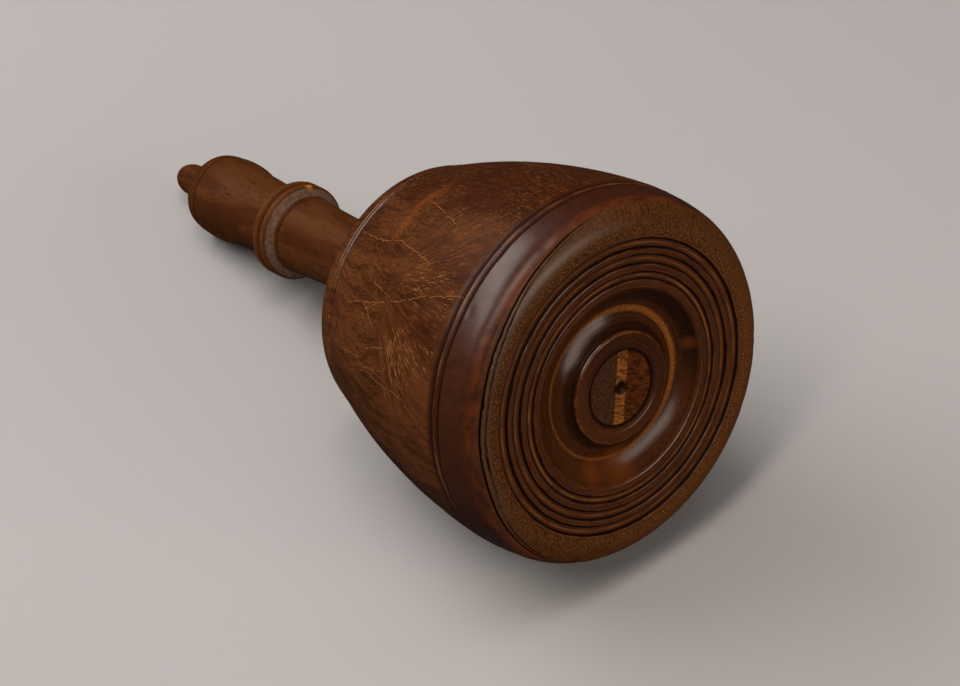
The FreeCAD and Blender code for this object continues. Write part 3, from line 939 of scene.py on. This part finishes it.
def add_dish_ring(at, color):
    """A granular tan ring of light wood along the dish's lowest line, with painted light that makes it
    broadest and strongest on the right, and ember patches.
    """
    # painted light: the tan ring widens and strengthens towards the right
    rightward = towards(at.angle, RIGHT)
    reach = spread(rightward, -1.0, 1.0, 0.40, 1.25)
    ragged = plus(stored(at.tree, "valley"), uneven(at.tool, -0.35, 0.35))
    granular = patches(at.angle, 60.0, at.radius, 2.2, 3.0, 2.0, 0.7)
    lowest = times(band(calculate("DIVIDE", ragged, reach), 1.15, 0.45),
                   spread(rightward, -1.0, 1.0, 0.45, 0.92),
                   spread(granular, 0.35, 0.60, 0.45, 1.0))
    grains = blend(band(granular, 0.4, 0.65), DISH_DARK, DISH_LIGHT)
    color = paint(color, grains, lowest)
    for angle, radius, size in RING_PATCHES:
        away = away_from(scaled(at.point, 1.0, 1.0, 0.0), angle, radius, 0.0)
        color = paint(color, EMBER, band(away, size * 2.0, size * 0.25), 0.30)
    return color


def add_scored_line(at, color):
    """The scored line, a grey painted reflection on the strip inside it, and a red band outside it."""
    # painted reflection: grey sheen on the strip inside the scored line
    color = paint(color, SHEEN_GREY, at.strip, 0.42)
    reddish = patches(at.around, 0.09, at.depth, 0.25, 8.0)
    color = paint(color, CORNER_RED, between(at.score, 0.1, 0.5, 1.0, 3.6),
                  band(reddish, 0.38, 0.56), 0.60)
    return paint(color, BLACK_BROWN, at.scored)


def add_side_marks(at, color):
    """An ember streak, cracks with painted shade along one side, hair-fine bruises and chips."""
    bowed = uneven(patches(at.around, 0.10, at.depth, 0.10, 0.0, 2.0), -2.0, 2.0)
    off_streak = absolute(plus(at.depth, -STREAK_DEPTH, bowed))
    beside = absolute(past(at.angle, STREAK_ANGLE))
    color = paint(color, EMBER, band(off_streak, 2.6, 0.2), band(beside, 0.34, 0.10), 0.34)
    color = paint(color, CRACK, at.crack, 0.75)
    # painted shade beside each crack
    color = paint(color, UMBER, at.crack_edge, 0.45)
    color = paint(color, HAIR, at.hair, band(at.depth, 16.0, 19.0), 0.64)
    chips = []
    for angle, depth, size in CHIPS:
        away = away_from(at.point, angle, BELL_RADIUS - (depth - BELL_DEPTH) ** 2 / BELL_BOW, depth)
        chips.append(band(plus(away, times(at.grit, size * 1.5)), size * 2.0, size * 1.3))
    return paint(color, CHIP, either(*chips), 0.85)


def head_polish(at):
    """Roughness and shine: satin side, polished band and dish, crisp edges, a dull rim, and dull hollows,
    walls and scored line.
    """
    on_band = times(at.by_face, at.on_side)
    polished = either(times(at.on_rings, 0.25), at.in_dish)
    crisp = times(band(stored(at.tree, "proud"), 0.02, 0.06), at.on_rings)
    roughness = uneven(noise(at.point, 0.12, 3.0), 0.40, 0.50)
    for mask, change in ((polished, -0.20), (either(on_band, at.strip), -0.11),
                         (band(at.radius, 30.0, 28.0), -0.05),
                         (either(at.dirty, at.scored), 0.25), (crisp, -0.18)):
        roughness = plus(roughness, times(mask, change))
    glossy = either(on_band, polished, times(at.strip, 0.7))
    shine = plus(mix(glossy, 0.09, 0.42), times(at.in_dish, -0.14))
    dull = either(at.dirty, at.walled, at.scored)
    shine = times(shine, mix(dull, 1.0, 0.12))
    return roughness, plus(shine, times(crisp, 0.45))


def head_relief(at):
    """Height of the fine relief in millimetres: fibre, tool marks, specks, cracks and bruises."""
    fine_tool = patches(at.radius, 5.0, at.angle, 0.6, 1.0, 2.0, 0.6)
    tooled = plus(at.tool, times(fine_tool, 0.35))
    return plus(times(at.fibre, at.on_side, 0.02),
                times(tooled, at.on_face, 0.024),
                times(at.speck, at.on_face, mix(at.on_rim, 0.004, 0.016)),
                times(at.crack, -0.10),
                times(at.hair, at.on_side, 0.03))


def head_wood():
    material = new_material("head_wood")
    at = head_place(material.node_tree)
    color = blend(at.on_face, side_color(at), face_color(at))
    for add in (add_turned_lines, add_dish_ring, add_scored_line, add_side_marks):
        color = add(at, color)
    roughness, shine = head_polish(at)
    finish(color, roughness, head_relief(at), shine)
    return material


# ---- Handle's wood: lighter orange-brown with short dark pores ----
SIENNA = (0.104, 0.0335, 0.0080)
CHESTNUT = (0.062, 0.0170, 0.0040)
PORE = (0.011, 0.005, 0.003)
END_RED, END_ORANGE = (0.034, 0.0085, 0.0016), (0.110, 0.027, 0.0030)
END_BROWN, END_GREY = (0.040, 0.0150, 0.0060), (0.078, 0.0310, 0.0130)
RUBBED_ORANGE = (0.30, 0.110, 0.028)
BEAD_BROWN = (0.130, 0.042, 0.0100)
BEVEL_SHEEN = (0.25, 0.155, 0.100)
FRESH_ORANGE = (0.48, 0.15, 0.022)
# Depths at which a ring of the handle begins, is full, fades and ends.
BEVEL = (153.7, 154.1, 155.2, 155.6)
BEAD = (155.4, 155.9, 161.6, 162.4)
GRIP_BAND = (199.8, 200.4, 205.8, 206.8)


def tenon_end_color(at):
    """End of the tenon: grey-brown left of the wedge, orange end grain right of it, with painted shade round
    the centre mark.
    """
    rays = noise(scaled(rotated(at.point, 38.0), 0.28, 1.3, 1.0), 1.0, 3.0, 0.6)
    warm = blend(band(rays, 0.38, 0.62), END_RED, END_ORANGE)
    cool = blend(band(noise(at.point, 1.1), 0.4, 0.65), END_BROWN, END_GREY)
    color = blend(band(right_of_wedge(at), -0.4, 0.4), cool, warm)
    color = paint(color, BLACK_BROWN, band(at.radius, 10.6, 11.1), 0.7)
    # painted shade round the centre mark
    return paint(color, BLACK_BROWN, band(at.radius, 3.0, 2.2), 0.85)


def add_collar(at, color):
    """A grey painted reflection on the bevel, painted shade in the hollows, an orange bead with a fresh
    dent, and the darker band that ends the grip.
    """
    collar_blotches = patches(at.angle, 9.0, at.depth, 1.0, 0.0, 3.0, 0.6)
    color = paint(color, RUBBED_ORANGE, band(stored(at.tree, "proud"), 0.03, 0.10),
                  band(collar_blotches, 0.36, 0.60), band(at.depth, 90.0, 95.0), 0.35)
    color = paint(color, BEAD_BROWN, between(at.depth, *BEAD), 0.45)
    color = paint(color, CHESTNUT, between(at.depth, *GRIP_BAND), 0.55)
    # painted shade in the hollows of the collar
    color = paint(color, BLACK_BROWN, at.dirty, 0.92)
    # painted reflection: a patchy grey sheen on the bevel
    sheen_patches = plus(collar_blotches, patches(at.angle, 28.0, at.depth, 1.5, 5.0, 3.0, 0.7))
    color = paint(color, BEVEL_SHEEN, at.on_bevel, spread(sheen_patches, 0.75, 1.2, 0.20, 1.0))
    dent = away_from(at.point, DENT_ANGLE, DENT_RADIUS, DENT_DEPTH - 0.2)
    return paint(color, FRESH_ORANGE, band(dent, 1.9, 0.7), 0.85)


def handle_wood():
    material = new_material("handle_wood")
    at = turned_place(material.node_tree)
    # the handle's hollows, where painted shade goes
    at.dirty = band(stored(at.tree, "hollow"), 0.03, 0.10)
    at.on_bevel = between(at.depth, *BEVEL)
    figure = noise(scaled(at.point, 1.0, 1.0, 0.22), 0.13, 4.0, 0.6, 0.8)
    fibre = noise(scaled(at.point, 1.0, 1.0, 0.10), 1.5, 4.0, 0.6)
    pore = noise(scaled(at.point, 1.0, 1.0, 0.15), 2.3, 1.0, 0.4)
    pores = times(band(pore, 0.61, 0.67), band(noise(at.point, 0.10), 0.42, 0.60))
    color = blend(band(figure, 0.35, 0.66), CHESTNUT, SIENNA)
    color = paint(color, CHESTNUT, band(fibre, 0.52, 0.34), 0.50)
    color = paint(color, PORE, pores, 0.8)
    color = paint(color, tenon_end_color(at), band(at.depth, 1.6, 1.2))
    color = add_collar(at, color)

    roughness = plus(uneven(noise(at.point, 0.3, 3.0), 0.46, 0.58),
                     times(at.dirty, 0.2), times(at.on_bevel, -0.12))
    height = plus(times(fibre, 0.02), times(pores, -0.03))
    finish(color, roughness, height, mix(at.on_bevel, 0.06, 0.45))
    return material


# ---- Wedge's wood: pale orange with slanting fibre, stained, dark at its joints, with painted shade in the mark ----
WEDGE_BROWN, WEDGE_ORANGE = (0.100, 0.028, 0.0026), (0.310, 0.100, 0.0110)
WEDGE_STAIN = (0.060, 0.022, 0.008)
MARK_SHADE = (0.010, 0.004, 0.002)


def wedge_wood():
    material = new_material("wedge_wood")
    at = turned_place(material.node_tree)
    fibre = noise(scaled(rotated(at.point, 32.0), 0.35, 1.7, 0.4), 1.0, 3.0, 0.6)
    color = blend(band(fibre, 0.42, 0.58), WEDGE_BROWN, WEDGE_ORANGE)
    color = paint(color, WEDGE_STAIN, band(noise(at.point, 0.5, 2.0), 0.52, 0.68), 0.5)
    by_joint = band(absolute(right_of_wedge(at)), 1.72, 1.93)
    color = paint(color, BLACK_BROWN, by_joint, 0.7)
    # painted shade in the centre mark
    in_mark = times(band(at.depth, 5.0, 4.0), band(at.radius, 2.5, 1.7))
    color = paint(color, MARK_SHADE, in_mark, 0.93)
    finish(color, 0.52, times(fibre, 0.05), 0.12)
    return material


# ---- Studio: pale floor, lights behind, above, in front and at the left, backdrop and camera ----
BACKDROP = (0.42, 0.40, 0.385)
FLOOR_DARK, FLOOR_LIGHT = (0.435, 0.445, 0.455), (0.470, 0.480, 0.490)
MIDDLE = Vector((0.0, 0.0, 0.05))


def floor_material():
    """Pale matt floor that takes on the backdrop's own brightness far from the object."""
    material = new_material("pale_floor")
    point = new_node(material.node_tree, "TexCoord", {}).outputs["Object"]
    tone = noise(point, 2.0, 2.0)
    glow = {"Emission Color": (*BACKDROP, 1.0), "Emission Strength": band(length(point), 0.7, 3.0)}
    finish(blend(tone, FLOOR_DARK, FLOOR_LIGHT), 0.75, times(tone, 0.1), 0.1, glow)
    return material


def make_floor():
    bpy.ops.mesh.primitive_circle_add(vertices=96, radius=6.0, fill_type="NGON", location=(0, 0, -0.0002))
    floor = bpy.context.object
    floor.name = "floor"
    floor.data.materials.append(floor_material())
    floor.visible_glossy = False


def area_light(name, azimuth, elevation, distance, size, power, color, mirrored=True):
    """A soft box aimed at the object, at this azimuth, in degrees counted from +X towards +Y. One
    that is not mirrored lights the object but is not seen in its polish."""
    a, e = math.radians(azimuth), math.radians(elevation)
    away = Vector((math.cos(a) * math.cos(e), math.sin(a) * math.cos(e), math.sin(e)))
    light = bpy.data.lights.new(name, "AREA")
    light.shape = "RECTANGLE"
    light.size, light.size_y = size
    light.energy = power
    light.color = color
    holder = bpy.data.objects.new(name, light)
    holder.location = MIDDLE + away * distance
    holder.rotation_euler = away.to_track_quat("Z", "Y").to_euler()
    holder.visible_glossy = mirrored
    bpy.context.scene.collection.objects.link(holder)


def make_world():
    """The backdrop: as bright as the far floor to the camera, but only a dim light on the object."""
    world = bpy.data.worlds.new("studio")
    world.use_nodes = True
    nodes, links = world.node_tree.nodes, world.node_tree.links
    nodes["Background"].inputs["Color"].default_value = (*BACKDROP, 1.0)
    strength = nodes.new("ShaderNodeMapRange")
    strength.inputs["To Min"].default_value = 0.07
    strength.inputs["To Max"].default_value = 1.0
    links.new(nodes.new("ShaderNodeLightPath").outputs["Is Camera Ray"], strength.inputs["Value"])
    links.new(strength.outputs[0], nodes["Background"].inputs["Strength"])
    bpy.context.scene.world = world


def make_studio():
    make_floor()
    area_light("key", 121.0, 43.0, 1.4, (1.5, 0.50), 13.5, (1.0, 0.91, 0.86))
    area_light("top", 100.0, 78.0, 1.5, (2.0, 2.0), 9.0, (1.0, 0.97, 0.95), mirrored=False)
    area_light("fill", -80.0, 22.0, 1.6, (1.2, 0.5), 9.0, (1.0, 0.86, 0.74))
    area_light("edge", -161.0, 68.0, 1.4, (0.22, 1.5), 8.5, (1.0, 0.84, 0.76))
    make_world()
    bpy.context.scene.view_settings.view_transform = "Standard"


def make_camera():
    camera = bpy.data.objects.new("camera", bpy.data.cameras.new("camera"))
    camera.data.sensor_width = 36.0
    camera.data.lens = 101.36
    camera.data.clip_start = 0.01
    camera.data.clip_end = 50.0
    camera.location = (-0.38514, -0.50709, 0.56774)
    camera.rotation_euler = (math.radians(48.708), 0.0, math.radians(-39.635))
    bpy.context.scene.collection.objects.link(camera)
    bpy.context.scene.camera = camera


# ---- Assembly ----
for make, node, material in ((make_head, "head", head_wood), (make_handle, "handle", handle_wood),
                             (make_wedge, "wedge", wedge_wood)):
    piece = make()
    piece.data.materials.clear()
    piece.data.materials.append(material())
    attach(piece, "root")
    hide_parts(node)

make_studio()
make_camera()
